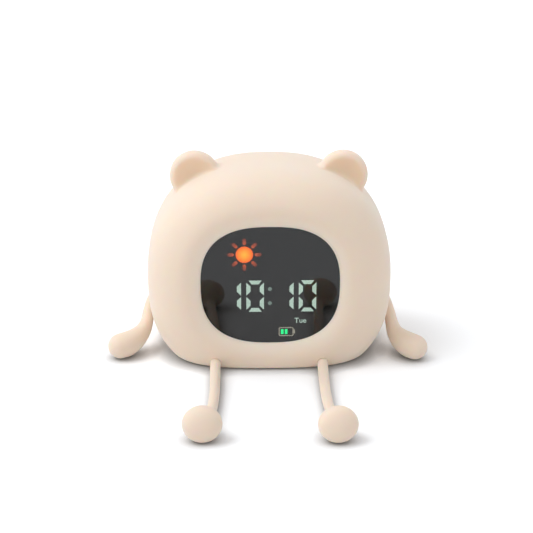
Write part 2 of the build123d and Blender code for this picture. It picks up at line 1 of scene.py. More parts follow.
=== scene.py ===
import math
import bpy
import numpy as np
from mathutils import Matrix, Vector


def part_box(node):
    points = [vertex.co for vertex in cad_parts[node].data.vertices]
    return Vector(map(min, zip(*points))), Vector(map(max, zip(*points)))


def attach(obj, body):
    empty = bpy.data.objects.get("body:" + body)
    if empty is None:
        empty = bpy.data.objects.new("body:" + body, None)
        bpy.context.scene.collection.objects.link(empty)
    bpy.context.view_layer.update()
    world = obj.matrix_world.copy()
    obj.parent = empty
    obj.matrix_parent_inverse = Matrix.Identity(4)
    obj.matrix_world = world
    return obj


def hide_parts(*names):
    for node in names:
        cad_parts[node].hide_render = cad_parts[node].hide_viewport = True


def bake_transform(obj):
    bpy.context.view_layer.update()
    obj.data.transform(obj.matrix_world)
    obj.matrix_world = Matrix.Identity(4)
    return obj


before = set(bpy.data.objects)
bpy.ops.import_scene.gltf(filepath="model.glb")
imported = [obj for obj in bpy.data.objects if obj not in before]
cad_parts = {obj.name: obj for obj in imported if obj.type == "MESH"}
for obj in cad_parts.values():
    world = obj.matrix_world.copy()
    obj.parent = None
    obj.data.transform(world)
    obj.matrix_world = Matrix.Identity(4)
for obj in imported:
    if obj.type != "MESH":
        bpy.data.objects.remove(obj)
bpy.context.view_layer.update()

# Silicone skin: one soft moulding with both ears, stretched over the housing. It is open at the
# display window, where its rim rolls in over the lens, and at the back, round the control panel.
# Cast in liquid silicone, so every edge is round and the ears flow out of the body.
MM = 0.001  # sizes are written in millimetres
BODY = dict(half_width=70.0, half_depth=49.0, widest=44.8, upper=66.2, lower=61.0, lift=6.0,
            front_power=3.6, rear_power=3.0, top_power=2.35, least_swell=0.03)
LOW_POWER = dict(inside=2.65, outside=2.55)
BASE_ROUND = 2.6
SKIN_WALL = 2.5
LEAST_WALL = 2.25
SKIN_BOX = ((-73, -50, -2.5), (73, 50, 119))
SKIN_STEP = 1.15
EAR = dict(side=42.3, level=102.1, radius=14.1, middle_y=-0.5, half_thick=5.5, edge=4.4, blend=3.0,
           solid_from=5.0)
EAR_DISH = dict(radius=24.6, centre_y=-27.9, soft=2.4, shade_depth=1.2, shade_front_y=-8.0)
WINDOW = dict(half_width=38.1, half_height=34.05, level=50.2, power=2.6, flare=0.9, flare_y=-42.6,
              roll=10.0, seat_y=-41.43, highlight_width=8.0)
REAR = dict(half_width=38.0, half_height=30.0, level=46.0, power=3.0, roll=2.6, seat_y=42.43)
OPENING_END = 30.0  # how far from the middle both openings stop
SEAT_REACH = 5.0
HOLE_GAP = 0.03
ROOTS = {
    "arm_left": [(-60.4, 7.8, 26.5, 3.2), (-67.4, 6.8, 25.0, 3.3), (-70.7, -0.2, 18.0, 3.4)],
    "arm_right": [(60.4, 6.6, 26.5, 3.2), (67.4, 5.6, 25.0, 3.3), (70.8, -1.9, 17.8, 3.4)],
    "leg_left": [(-31.0, -35.2, 8.9, 2.95), (-31.0, -42.0, 4.6, 2.95), (-31.1, -51.0, 3.5, 2.95)],
    "leg_right": [(29.8, -35.2, 8.9, 2.95), (29.7, -41.8, 4.6, 2.95), (29.5, -51.0, 3.5, 2.95)],
}
PROBE = dict(body=0.2, mesh=0.05)
LEAST_PULL = dict(body=0.004, oval=0.01, mesh=0.2)
LEAST_LEVEL = 1e-6
FAR = 9.0
BATCHES = 12
SETTLE_ROUNDS = 3
SEAM_REACH = 1.2
SEAM_ROUNDS = 5
SHARP_EDGE = math.radians(50)
CORNERS = np.array([(i, j, k) for i in (0, 1) for j in (0, 1) for k in (0, 1)])


def round_min(a, b, width):
    """The union of two distances, with a soft fillet of that width."""
    h = np.maximum(width - np.abs(a - b), 0) / width
    return np.minimum(a, b) - h * h * width / 4


def round_max(a, b, width):
    """The overlap of two distances, with a soft round of that width."""
    return -round_min(-a, -b, width)


def slopes(field, points, reach):
    """The gradient of a field at points."""
    steps = np.eye(3) * reach
    return np.stack([(field(points + s) - field(points - s)) / (2 * reach) for s in steps], 1)


def body_level(points, low_power):
    """Zero on the body's surface, below zero inside; not yet a distance.

    A higher power makes the lower corners squarer."""
    x, y, z = points.T
    t = np.abs(y) / BODY["half_depth"]
    full = np.where(y < 0, BODY["front_power"], BODY["rear_power"])
    swell = np.maximum(1 - np.minimum(t, 1) ** full, BODY["least_swell"]) ** (1 / full)
    rise = z - BODY["widest"]
    top = BODY["upper"] + np.where(y < 0, BODY["lift"] * t**2 / swell, 0)
    height = np.where(rise > 0, top, BODY["lower"])
    power = np.where(rise > 0, BODY["top_power"], low_power)
    across, upright = np.abs(x / BODY["half_width"]), np.abs(rise / height)
    section = (across**power + upright**power) ** (1 / power)
    return (section**full + t**full) ** (1 / full) - 1


def body_gap(points, low_power=LOW_POWER["inside"]):
    """About the distance to the body's surface."""
    pull = slopes(lambda spots: body_level(spots, low_power), points, PROBE["body"])
    steepness = np.maximum(np.linalg.norm(pull, axis=1), LEAST_PULL["body"])
    return body_level(points, low_power) / steepness


def oval_gap(points, oval):
    """About the distance to an upright soft-cornered oval."""
    x, _, z = points.T
    u, w = np.abs(x / oval["half_width"]), np.abs((z - oval["level"]) / oval["half_height"])
    n = oval["power"]
    level = np.maximum(u**n + w**n, LEAST_LEVEL) ** (1 / n)
    pull = np.hypot(u ** (n - 1) / oval["half_width"], w ** (n - 1) / oval["half_height"])
    return (level - 1) / np.maximum(pull * level ** (1 - n), LEAST_PULL["oval"])


def seat_gap(points, oval):
    """The distance to the flat seat behind an opening's rim; far away from the rim."""
    return np.where(oval_gap(points, oval) < SEAT_REACH, points[:, 1] - oval["seat_y"], FAR)


def tube_gap(points, stations):
    """The distance to a round tube through stations of x, y, z and radius."""
    best = np.full(len(points), np.inf)
    for a, b in zip(stations, stations[1:]):
        start, run = np.array(a[:3]), np.array(b[:3]) - np.array(a[:3])
        along = np.clip((points - start) @ run / (run @ run), 0, 1)
        radius = a[3] + along * (b[3] - a[3])
        away = np.linalg.norm(points - start - along[:, None] * run, axis=1)
        best = np.minimum(best, away - radius)
    return best


def dish_gap(points, side):
    """The distance to the round hollow that dishes one ear's front."""
    centre = np.array([side * EAR["side"], EAR_DISH["centre_y"], EAR["level"]])
    return np.linalg.norm(points - centre, axis=1) - EAR_DISH["radius"]


def ear_gap(points, side):
    """The distance to one round ear with its dished front."""
    x, y, z = points.T
    across = np.hypot(x - side * EAR["side"], z - EAR["level"]) - EAR["radius"] + EAR["edge"]
    through = np.abs(y - EAR["middle_y"]) - EAR["half_thick"] + EAR["edge"]
    ear = np.minimum(np.maximum(across, through), 0) - EAR["edge"]
    ear += np.hypot(np.maximum(across, 0), np.maximum(through, 0))
    return round_max(ear, -dish_gap(points, side), EAR_DISH["soft"])


def skin_outside(points):
    """The distance to the skin's outer side, with both openings; the window's is a funnel."""
    _, y, z = points.T
    outer = round_max(body_gap(points, LOW_POWER["outside"]), -z, BASE_ROUND)
    for side in (-1, 1):
        outer = round_min(outer, ear_gap(points, side), EAR["blend"])
    funnel = oval_gap(points, WINDOW) + WINDOW["flare"] * np.minimum(y - WINDOW["flare_y"], 0)
    window = np.maximum(funnel / math.hypot(1, WINDOW["flare"]), y + OPENING_END)
    rear = np.maximum(oval_gap(points, REAR), OPENING_END - y)
    outer = round_max(outer, -window, WINDOW["roll"])
    return round_max(outer, -rear, REAR["roll"])


def skin_gap(points):
    """The distance to the whole skin, hollow and with a hole for each limb.

    The hollow is squarer at the lower corners than the outer side, so a least wall is kept."""
    _, y, z = points.T
    inside = np.maximum.reduce([
        body_gap(points) + SKIN_WALL, body_gap(points, LOW_POWER["outside"]) + LEAST_WALL,
        SKIN_WALL - z, WINDOW["seat_y"] - y, y - REAR["seat_y"]])
    whole = np.maximum(skin_outside(points), -inside)
    for stations in ROOTS.values():
        whole = np.maximum(whole, HOLE_GAP - tube_gap(points, stations))
    return whole


def crossed_cells(value):
    """The grid cells that the surface passes through, and where in each of them it lies."""
    inside = value < 0
    shape = [n - 1 for n in value.shape]
    count = np.zeros(shape, int)
    for i, j, k in CORNERS:
        count += inside[i:i + shape[0], j:j + shape[1], k:k + shape[2]]
    cells = np.argwhere((count > 0) & (count < len(CORNERS)))
    total, hits = np.zeros((len(cells), 3)), np.zeros(len(cells))
    for a in CORNERS:
        for b in CORNERS:
            if (b - a).sum() == 1 and (b - a).min() == 0:
                va, vb = value[tuple((cells + a).T)], value[tuple((cells + b).T)]
                crossed = (va < 0) != (vb < 0)
                share = np.where(crossed, va / np.where(crossed, va - vb, 1), 0)
                total += np.where(crossed[:, None], a + share[:, None] * (b - a), 0)
                hits += crossed
    return cells, total / hits[:, None]


def surface_quads(inside, cells):
    """One quad of cell numbers round each grid edge that the surface crosses, facing out."""
    shape = [n - 1 for n in inside.shape]
    number = np.full(shape, -1)
    number[tuple(cells.T)] = np.arange(len(cells))
    faces = []
    for axis in range(3):
        u, v = [d for d in range(3) if d != axis]
        here = np.take(inside, range(shape[axis]), axis)
        there = np.take(inside, range(1, shape[axis] + 1), axis)
        edges = np.argwhere(here != there)
        edges = edges[(edges[:, u] > 0) & (edges[:, v] > 0)
                      & (edges[:, u] < shape[u]) & (edges[:, v] < shape[v])]
        ring = []
        for du, dv in ((1, 1), (0, 1), (0, 0), (1, 0)):
            back = edges.copy()
            back[:, u] -= du
            back[:, v] -= dv
            ring.append(number[tuple(back.T)])
        quads = np.stack(ring, 1)
        outward = here[tuple(edges.T)] == (axis != 1)
        quads[~outward] = quads[~outward][:, ::-1]
        faces.append(quads)
    return np.concatenate(faces)


def drawn_to(points, field, limit=np.inf):
    """The points moved towards a field's surface, each by no more than about the limit."""
    pull = slopes(field, points, PROBE["mesh"])
    move = field(points) / np.maximum((pull**2).sum(1), LEAST_PULL["mesh"])
    return points - np.clip(move, -limit, limit)[:, None] * pull


def new_piece(name, data):
    """A new object in the scene."""
    made = bpy.data.objects.new(name, data)
    bpy.context.scene.collection.objects.link(made)
    return made


def moulded(name, field, low, high, step, seams=()):
    """A closed mesh of the surface where a distance field is zero.

    Each seam is two fields whose surfaces meet in a crisp edge, and points near it move to it."""
    low = np.array(low, float)
    sizes = [int(math.ceil((b - a) / step)) + 1 for a, b in zip(low, high)]
    spots = np.stack(np.meshgrid(*[np.arange(n) for n in sizes], indexing="ij"), -1).reshape(-1, 3)
    value = [field(low + step * part) for part in np.array_split(spots, BATCHES)]
    value = np.concatenate(value).reshape(sizes)
    cells, offsets = crossed_cells(value)
    points = low + step * (cells + offsets)
    for _ in range(SETTLE_ROUNDS):
        points = drawn_to(points, field, step / 2)
    for pair in seams:
        close = [np.abs(side(points)) < SEAM_REACH * step for side in pair]
        near = np.flatnonzero(np.all(close, axis=0))
        for side in pair:
            ends = np.stack([side(low + step * (cells[near] + corner)) for corner in CORNERS])
            near = near[(ends.min(0) < 0) & (ends.max(0) > 0)]
        edge = points[near]
        for side in pair * SEAM_ROUNDS:
            edge = drawn_to(edge, side)
        points[near] = edge
    mesh = bpy.data.meshes.new(name)
    mesh.from_pydata((points * MM).tolist(), [], surface_quads(value < 0, cells).tolist())
    mesh.shade_smooth()
    mesh.set_sharp_from_angle(angle=SHARP_EDGE)
    return new_piece(name, mesh), points


def linear(code):
    """An sRGB hex colour as linear red, green, blue and alpha."""
    channels = [int(code[i:i + 2], 16) / 255 for i in (0, 2, 4)]
    return [c / 12.92 if c <= 0.04045 else ((c + 0.055) / 1.055) ** 2.4 for c in channels] + [1.0]


def add_node(tree, kind, links=None, **settings):
    """One node with its settings; links gives a socket a value or another node's output."""
    node = tree.nodes.new(kind)
    for key, value in settings.items():
        setattr(node, key, value)
    for key, value in (links or {}).items():
        if isinstance(value, bpy.types.NodeSocket):
            tree.links.new(value, node.inputs[key])
        else:
            node.inputs[key].default_value = value
    return node


def new_finish(name):
    """A new material with its node tree and its shader."""
    finish = bpy.data.materials.new(name)
    finish.use_nodes = True
    return finish, finish.node_tree, finish.node_tree.nodes["Principled BSDF"]


# Liquid silicone rubber with a soft-touch matt face: light sinks in a little, deeper in the solid
# ears, and comes back warm, and a fine dusty grain keeps the gloss broad. The rim round the window
# is painted paler, a painted highlight where the light catches it, and the ears' dishes are painted
# a touch darker and warmer, a painted shade in the hollows, as the photograph shows them.
COLOUR_A, COLOUR_B, COLOUR_OUT = 6, 7, 2  # the colour sockets of a mix node
SOAK = dict(thin=0.5, solid=5.0)
CLOUD_SIZE, DUST_SIZE, DUST_DEPTH = 30.0, 0.5, 0.05
silicone, tree, shader = new_finish("cream_silicone_rubber")
shader.inputs["Roughness"].default_value = 0.62
shader.inputs["IOR"].default_value = 1.41
shader.inputs["Subsurface Weight"].default_value = 0.6
shader.inputs["Subsurface Radius"].default_value = (1.0, 0.5, 0.26)
shader.inputs["Sheen Weight"].default_value = 0.3
shader.inputs["Sheen Roughness"].default_value = 0.45
thick = add_node(tree, "ShaderNodeAttribute", attribute_name="thickness")
soak = add_node(tree, "ShaderNodeMapRange", {
    "Value": thick.outputs["Fac"], "To Min": SOAK["thin"] * MM, "To Max": SOAK["solid"] * MM})
tree.links.new(soak.outputs["Result"], shader.inputs["Subsurface Scale"])
place = add_node(tree, "ShaderNodeTexCoord")
cloud = add_node(tree, "ShaderNodeTexNoise", {
    "Vector": place.outputs["Object"], "Scale": 1 / (CLOUD_SIZE * MM), "Detail": 3.0})
tone = add_node(tree, "ShaderNodeMix", {
    "Factor": cloud.outputs["Fac"], COLOUR_A: linear("EEDBC8"), COLOUR_B: linear("F1E0CF"),
}, data_type="RGBA")
# Painted highlight: the band round the window is painted paler where light catches the rim; the
# rubber there is the same.
rim_highlight = add_node(tree, "ShaderNodeAttribute", attribute_name="rim_highlight")
rim_highlighted = add_node(tree, "ShaderNodeMix", {
    "Factor": rim_highlight.outputs["Fac"], COLOUR_A: tone.outputs[COLOUR_OUT], COLOUR_B: linear("F3E7D9"),
}, data_type="RGBA")
# Painted shade: the ears' dishes are painted darker and warmer, where shade and warm bounce light
# fall in the hollows.
dish_shade = add_node(tree, "ShaderNodeAttribute", attribute_name="ear_dish_shade")
dish_shaded = add_node(tree, "ShaderNodeMix", {
    "Factor": dish_shade.outputs["Fac"], COLOUR_A: rim_highlighted.outputs[COLOUR_OUT], COLOUR_B: linear("EDD6BC"),
}, data_type="RGBA")
tree.links.new(dish_shaded.outputs[COLOUR_OUT], shader.inputs["Base Color"])
dust = add_node(tree, "ShaderNodeTexNoise", {
    "Vector": place.outputs["Object"], "Scale": 1 / (DUST_SIZE * MM), "Detail": 2.0})
bump = add_node(tree, "ShaderNodeBump", {
    "Height": dust.outputs["Fac"], "Strength": 0.03, "Distance": DUST_DEPTH * MM})
tree.links.new(bump.outputs["Normal"], shader.inputs["Normal"])

seams = [(skin_outside, lambda points, oval=oval: seat_gap(points, oval))
         for oval in (WINDOW, REAR)]
for stations in ROOTS.values():
    seams.append((skin_outside, lambda points, run=stations: tube_gap(points, run) - HOLE_GAP))
skin, points = moulded("silicone_body", skin_gap, *SKIN_BOX, SKIN_STEP, seams)
thick_share = np.clip(body_gap(points) / EAR["solid_from"], 0, 1)
# Painted highlight: the share of the paler colour, full at the window's edge and fading out across
# the band.
rim_highlight_share = np.clip(1 - oval_gap(points, WINDOW) / WINDOW["highlight_width"], 0, 1)
rim_highlight_share *= points[:, 1] < -OPENING_END
# Painted shade: the share of the darker dish colour, close to the hollow face of each ear's dish.
dish_shade_share = np.zeros(len(points))
for side in (-1, 1):
    share = np.clip(EAR_DISH["shade_depth"] - np.abs(dish_gap(points, side)), 0, 1)
    across = np.hypot(points[:, 0] - side * EAR["side"], points[:, 2] - EAR["level"])
    in_ear = (across < EAR["radius"]) & (points[:, 1] > EAR_DISH["shade_front_y"])
    dish_shade_share = np.maximum(dish_shade_share, share * in_ear)
for label, share in (("thickness", thick_share), ("rim_highlight", rim_highlight_share), ("ear_dish_shade", dish_shade_share)):
    skin.data.attributes.new(label, "FLOAT", "POINT").data.foreach_set("value", share)
skin.data.materials.append(silicone)
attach(skin, "body")
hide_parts("silicone_skin")

# Arms and legs: silicone cords moulded with their hands and feet. Each root is pushed through a
# hole in the skin and held inside, and the limb flops from there. Light sinks into them no deeper
# than into the thin skin, so they carry no thickness.
RUNS = {
    "arm_left": [(-71.6, -7.2, 14.2, 3.8), (-73.8, -14.3, 11.4, 4.8), (-77.9, -20.0, 9.0, 6.2),
                 (-82.2, -23.7, 7.7, 7.2), (-85.8, -25.7, 7.3, 7.2)],
    "arm_right": [(71.9, -9.9, 13.6, 3.8), (73.2, -16.8, 10.8, 4.8), (76.1, -22.6, 8.8, 6.2),
                  (80.0, -27.5, 7.7, 7.2), (83.4, -30.4, 7.3, 7.2)],
    "leg_left": [(-31.0, -70.3, 3.2, 2.9), (-31.4, -86.4, 3.15, 2.85), (-32.3, -100.5, 3.4, 2.8),
                 (-33.8, -112.6, 4.4, 2.8), (-35.5, -121.6, 6.4, 2.8)],
    "leg_right": [(29.3, -69.7, 3.2, 2.9), (29.5, -85.5, 3.15, 2.85), (30.2, -99.5, 3.4, 2.8),
                  (31.2, -112.5, 4.4, 2.8), (32.0, -122.5, 6.4, 2.8)],
}
FEET = {"leg_left": (-36.9, -131.0), "leg_right": (33.0, -132.5)}
FOOT_RADII = np.array((10.6, 9.6, 9.8))
FOOT_SOLE = dict(normal=(0.0, -0.96, 0.28), reach=6.6, soft=9.0)
FOOT_BLEND = 2.0
LEAST_STRETCH = 1e-4
LIMB_STEP = 0.62
LIMB_MARGIN, FOOT_MARGIN = 9, 13
CURVE_STEPS = 8


def smooth_run(stations):
    """More stations on a smooth curve through the given ones."""
    knots = np.array([stations[0]] + list(stations) + [stations[-1]], float)
    run = []
    for i in range(1, len(knots) - 2):
        p0, p1, p2, p3 = knots[i - 1:i + 3]
        for t in np.linspace(0, 1, CURVE_STEPS, endpoint=False):
            run.append(0.5 * (2 * p1 + (p2 - p0) * t + (2 * p0 - 5 * p1 + 4 * p2 - p3) * t**2
                              + (3 * p1 - p0 - 3 * p2 + p3) * t**3))
    return [tuple(s) for s in run] + [tuple(knots[-1])]


def limb_gap(points, line, foot):
    """The distance to a limb: a tapered cord, and an egg with a soft sole if it has a foot."""
    cord = tube_gap(points, line)
    if foot is None:
        return cord
    local = points - foot
    k0 = np.linalg.norm(local / FOOT_RADII, axis=1)
    k1 = np.maximum(np.linalg.norm(local / FOOT_RADII**2, axis=1), LEAST_STRETCH)
    sole = local @ np.array(FOOT_SOLE["normal"]) - FOOT_SOLE["reach"]
    egg = round_max(k0 * (k0 - 1) / k1, sole, FOOT_SOLE["soft"])
    return round_min(cord, egg, FOOT_BLEND)


for limb, run in RUNS.items():
    line = smooth_run(ROOTS[limb] + run)
    spread = np.array([s[:3] for s in line])
    low, high = spread.min(0) - LIMB_MARGIN, spread.max(0) + LIMB_MARGIN
    foot = None
    if limb in FEET:
        foot = np.array([*FEET[limb], FOOT_RADII[2]])
        low, high = np.minimum(low, foot - FOOT_MARGIN), np.maximum(high, foot + FOOT_MARGIN)
    piece, _ = moulded("silicone_" + limb, lambda points: limb_gap(points, line, foot), low, high,
                       LIMB_STEP)
    piece.data.materials.append(silicone)
    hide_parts(limb, limb.replace("_", "_root_"))
    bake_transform(piece)

# Display window: a plate of smoked acrylic, polished both sides, lying on a foam gasket behind the
# skin's rolled rim. It mirrors the room faintly and lets the lit figures through.
HAZE_SIZE = 18.0


def dress(nodes, finish):
    """Give CAD pieces one material in place of what they came with."""
    for node in nodes:
        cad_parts[node].data.materials.clear()
        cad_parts[node].data.materials.append(finish)


acrylic, tree, shader = new_finish("smoked_acrylic")
shader.inputs["IOR"].default_value = 1.53
shader.inputs["Transmission Weight"].default_value = 1.0
place = add_node(tree, "ShaderNodeTexCoord")
haze = add_node(tree, "ShaderNodeTexNoise", {
    "Vector": place.outputs["Object"], "Scale": 1 / (HAZE_SIZE * MM), "Detail": 2.0})
smoke = add_node(tree, "ShaderNodeMix", {
    "Factor": haze.outputs["Fac"], COLOUR_A: linear("484746"), COLOUR_B: linear("4B4A49"),
}, data_type="RGBA")
tree.links.new(smoke.outputs[COLOUR_OUT], shader.inputs["Base Color"])
polish = add_node(tree, "ShaderNodeMapRange", {
    "Value": haze.outputs["Fac"], "To Min": 0.03, "To Max": 0.05})
tree.links.new(polish.outputs["Result"], shader.inputs["Roughness"])
dress(["display_lens"], acrylic)

# Foam gasket, reflector block, unlit strokes and the small black parts inside. All but the gasket
# are moulded ABS with a spark-eroded face, and its foam has the same look: so dull that the window
# over them is evenly dark.
BLACK_NODES = (
    "lens_gasket", "display_reflector", "digit_strokes_dark", "switch_cases", "battery_tray",
    "control_chips", "cable_plugs", "plunger_sound", "plunger_minus", "plunger_light",
    "plunger_plus", "plunger_clock", "usb_tongue", "speaker_frame")
BLACK_GRAIN = 0.4
black, tree, shader = new_finish("black_moulded_abs")
shader.inputs["Roughness"].default_value = 0.7
shader.inputs["IOR"].default_value = 1.52
place = add_node(tree, "ShaderNodeTexCoord")
spark = add_node(tree, "ShaderNodeTexNoise", {
    "Vector": place.outputs["Object"], "Scale": 1 / (BLACK_GRAIN * MM), "Detail": 1.0})
shade = add_node(tree, "ShaderNodeMix", {
    "Factor": spark.outputs["Fac"], COLOUR_A: linear("0C0C0C"), COLOUR_B: linear("141414"),
}, data_type="RGBA")
tree.links.new(shade.outputs[COLOUR_OUT], shader.inputs["Base Color"])
dress(BLACK_NODES, black)

# Lit figures: clear resin light guides over small lamps, moulded to stand in the reflector. They
# glow almost evenly, in soft patches a little brighter or dimmer, and bright enough to show through
# the smoked window. Each has its bright colour, its dim colour and its strength.
FIGURES = {"digit_strokes_lit": ("D6F4E6", "BFE0D2", 10.6), "colon_dots": ("A9C7BD", "98B6AC", 5.9),
           "charge_outline": ("D8D6C4", "C2C0AC", 6.7)}
RESIN_ROUGHNESS = 0.4
PATCH_SIZE = 5.0
for node, (bright, dim, strength) in FIGURES.items():
    resin, tree, shader = new_finish("lit_resin_" + node)
    shader.inputs["Base Color"].default_value = linear("404845")
    shader.inputs["Roughness"].default_value = RESIN_ROUGHNESS
    place = add_node(tree, "ShaderNodeTexCoord")
    patch = add_node(tree, "ShaderNodeTexNoise", {
        "Vector": place.outputs["Object"], "Scale": 1 / (PATCH_SIZE * MM), "Detail": 1.0})
    glow = add_node(tree, "ShaderNodeMix", {
        "Factor": patch.outputs["Fac"], COLOUR_A: linear(bright), COLOUR_B: linear(dim),
    }, data_type="RGBA")
    tree.links.new(glow.outputs[COLOUR_OUT], shader.inputs["Emission Color"])
    shader.inputs["Emission Strength"].default_value = strength
    dress([node], resin)

# Sun sign: amber resin guides in the reflector, a disc that is yellower at its middle and short
# rays that fade away from it. Each has the radii that its colour runs between, its inner and outer
# colours and its strength.
SUN_CENTRE = (-14.38, 0, 68.1)
SUN = {"sun_disc": (0.0, 4.8, "FFBB2E", "FF6000", 15.7),
       "sun_rays": (5.7, 9.6, "FF6A30", "86341E", 7.5)}
for node, (near, far, inner, outer, strength) in SUN.items():
    resin, tree, shader = new_finish("lit_resin_" + node)
    shader.inputs["Base Color"].default_value = linear("4A3020")
    shader.inputs["Roughness"].default_value = RESIN_ROUGHNESS
    place = add_node(tree, "ShaderNodeTexCoord")
    flat = add_node(tree, "ShaderNodeVectorMath", {
        0: place.outputs["Object"], 1: (1, 0, 1)}, operation="MULTIPLY")
    reach = add_node(tree, "ShaderNodeVectorMath", {
        0: flat.outputs[0], 1: [c * MM for c in SUN_CENTRE]}, operation="DISTANCE")
    fade = add_node(tree, "ShaderNodeMapRange", {
        "Value": reach.outputs["Value"], "From Min": near * MM, "From Max": far * MM})
    glow = add_node(tree, "ShaderNodeMix", {
        "Factor": fade.outputs["Result"], COLOUR_A: linear(inner), COLOUR_B: linear(outer),
    }, data_type="RGBA")
    tree.links.new(glow.outputs[COLOUR_OUT], shader.inputs["Emission Color"])
    shader.inputs["Emission Strength"].default_value = strength
    dress([node], resin)

# Charge bars: three green resin guides in the reflector, side by side in the battery outline. The
# first two are lit, up to a line across the sign, and the last one is off.
LIT_UP_TO_X = 9.9
BAR_STRENGTH = 15.0
resin, tree, shader = new_finish("lit_resin_charge_bars")
shader.inputs["Base Color"].default_value = linear("20362C")
shader.inputs["Roughness"].default_value = RESIN_ROUGHNESS
place = add_node(tree, "ShaderNodeTexCoord")
parts = add_node(tree, "ShaderNodeSeparateXYZ", {"Vector": place.outputs["Object"]})
lit = add_node(tree, "ShaderNodeMath", {
    0: parts.outputs["X"], 1: LIT_UP_TO_X * MM}, operation="LESS_THAN")
glow = add_node(tree, "ShaderNodeMix", {
    "Factor": lit.outputs[0], COLOUR_A: linear("050606"), COLOUR_B: linear("00FF94"),
}, data_type="RGBA")
tree.links.new(glow.outputs[COLOUR_OUT], shader.inputs["Emission Color"])
shader.inputs["Emission Strength"].default_value = BAR_STRENGTH
dress(["charge_bars"], resin)

# Weekday: three small letters cut in the display mask and lit from behind like the digits, shown
# as a thin plate of the digits' resin just behind the window.
WEEKDAY = dict(text="Tue", size=4.3, swell=0.03, half_thick=0.04, middle_x=17.0, y=-39.25,
               foot=27.1)
letters = bpy.data.curves.new("weekday", "FONT")
letters.body = WEEKDAY["text"]
letters.size = WEEKDAY["size"] * MM
letters.offset = WEEKDAY["swell"] * MM
letters.align_x = "CENTER"
letters.extrude = WEEKDAY["half_thick"] * MM


def plain_mesh(holder):
    """The mesh that an object's curve or modifiers make."""
    bpy.context.view_layer.update()
    shown = holder.evaluated_get(bpy.context.evaluated_depsgraph_get())
    return bpy.data.meshes.new_from_object(shown)


holder = new_piece("weekday_text", letters)
flat_mesh = plain_mesh(holder)
bpy.data.objects.remove(holder)
for vertex in flat_mesh.vertices:
    x, y, z = vertex.co
    vertex.co = (x + WEEKDAY["middle_x"] * MM, WEEKDAY["y"] * MM - z, y + WEEKDAY["foot"] * MM)
weekday = new_piece("weekday", flat_mesh)
weekday.data.materials.clear()
weekday.data.materials.append(bpy.data.materials["lit_resin_digit_strokes_lit"])
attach(weekday, "body")

# Control panel, buttons and housings: moulded ABS in the skin's cream, with a fine spark-eroded
# texture on the panel and smoother, slightly darker button caps. The lamps, cell, boards, cable and
# cone inside have plain finishes. Each has two colours, a roughness and its grain in millimetres.
PLASTICS = {
    "cream_panel_abs": (("rear_panel",), "E9DAC5", "EDE0CE", 0.5, 0.35),
    "cream_button_abs": (("button_sound", "button_minus", "button_light", "button_plus",
                          "button_clock"), "D9C3A7", "DEC9AF", 0.42, 0.2),
    "cream_housing_abs": (("front_housing", "rear_housing"), "E3D8C6", "E8DECF", 0.55, 0.3),
    "clear_lamp_resin": (("display_leds",), "EFE6BC", "F5EED0", 0.25, 0.5),
    "blue_cell_sleeve": (("battery_cell",), "2C6AA2", "3274AE", 0.3, 2.0),
    "green_solder_mask": (("display_board", "control_board"), "1B5434", "22613D", 0.35, 1.2),
    "polyester_cable_film": (("flat_cable",), "D6D6CF", "DEDED8", 0.3, 1.0),
    "pressed_speaker_paper": (("speaker_cone",), "262422", "32302D", 0.85, 0.6),
}
PLASTIC_GLOSS_SPREAD = 0.06
PLASTIC_GRAIN_DEPTH = 0.04
for name, (nodes, first, second, roughness, grain) in PLASTICS.items():
    plastic, tree, shader = new_finish(name)
    shader.inputs["IOR"].default_value = 1.52
    place = add_node(tree, "ShaderNodeTexCoord")
    spark = add_node(tree, "ShaderNodeTexNoise", {
        "Vector": place.outputs["Object"], "Scale": 1 / (grain * MM), "Detail": 2.0})
    tint = add_node(tree, "ShaderNodeMix", {
        "Factor": spark.outputs["Fac"], COLOUR_A: linear(first), COLOUR_B: linear(second),
    }, data_type="RGBA")
    tree.links.new(tint.outputs[COLOUR_OUT], shader.inputs["Base Color"])
    gloss = add_node(tree, "ShaderNodeMapRange", {
        "Value": spark.outputs["Fac"], "To Min": roughness - PLASTIC_GLOSS_SPREAD,
        "To Max": roughness + PLASTIC_GLOSS_SPREAD})
    tree.links.new(gloss.outputs["Result"], shader.inputs["Roughness"])
    bump = add_node(tree, "ShaderNodeBump", {
        "Height": spark.outputs["Fac"], "Strength": 0.12, "Distance": PLASTIC_GRAIN_DEPTH * MM})
    tree.links.new(bump.outputs["Normal"], shader.inputs["Normal"])
    dress(nodes, plastic)

# Button signs: minus, plus, lamp, clock and note, pad-printed on the caps in warm grey ink. The ink
# is drawn 0.06 mm thick so that it shows. SIGNS has bars round a hub: their count, ring radius,
# length and width, and the hub's radius. STROKES has single bars: x, z at both ends, and width.
INK = 0.06
SIGNS = {"minus": (1, -1.5, 3.0, 0.5, 0.0), "plus": (1, -1.5, 3.0, 0.5, 0.0),
         "light": (8, 1.35, 0.65, 0.34, 0.85), "clock": (12, 1.65, 0.4, 0.24, 0.22)}
STROKES = {"plus": [(0, 0.25, 0, 1.5, 0.5), (0, -0.25, 0, -1.5, 0.5)],
           "clock": [(0, 0, 0, 1.25, 0.3), (0, 0, -0.8, 0.45, 0.3)],
           "sound": [(-0.45, -1.1, -0.45, 1.6, 0.34), (-0.4, 1.5, -1.3, 0.75, 0.4),
                     (0.75, -1.25, -0.3, -0.95, 1.0)]}
SPECK_SIZE = 0.3
HUB_SIDES = 24
LEAST_HUB = 0.01
BAR_FACES = ((3, 2, 1, 0), (4, 5, 6, 7), (0, 1, 5, 4), (1, 2, 6, 5), (2, 3, 7, 6), (3, 0, 4, 7))
ink, tree, shader = new_finish("grey_pad_print_ink")
place = add_node(tree, "ShaderNodeTexCoord")
speck = add_node(tree, "ShaderNodeTexNoise", {
    "Vector": place.outputs["Object"], "Scale": 1 / (SPECK_SIZE * MM), "Detail": 2.0})
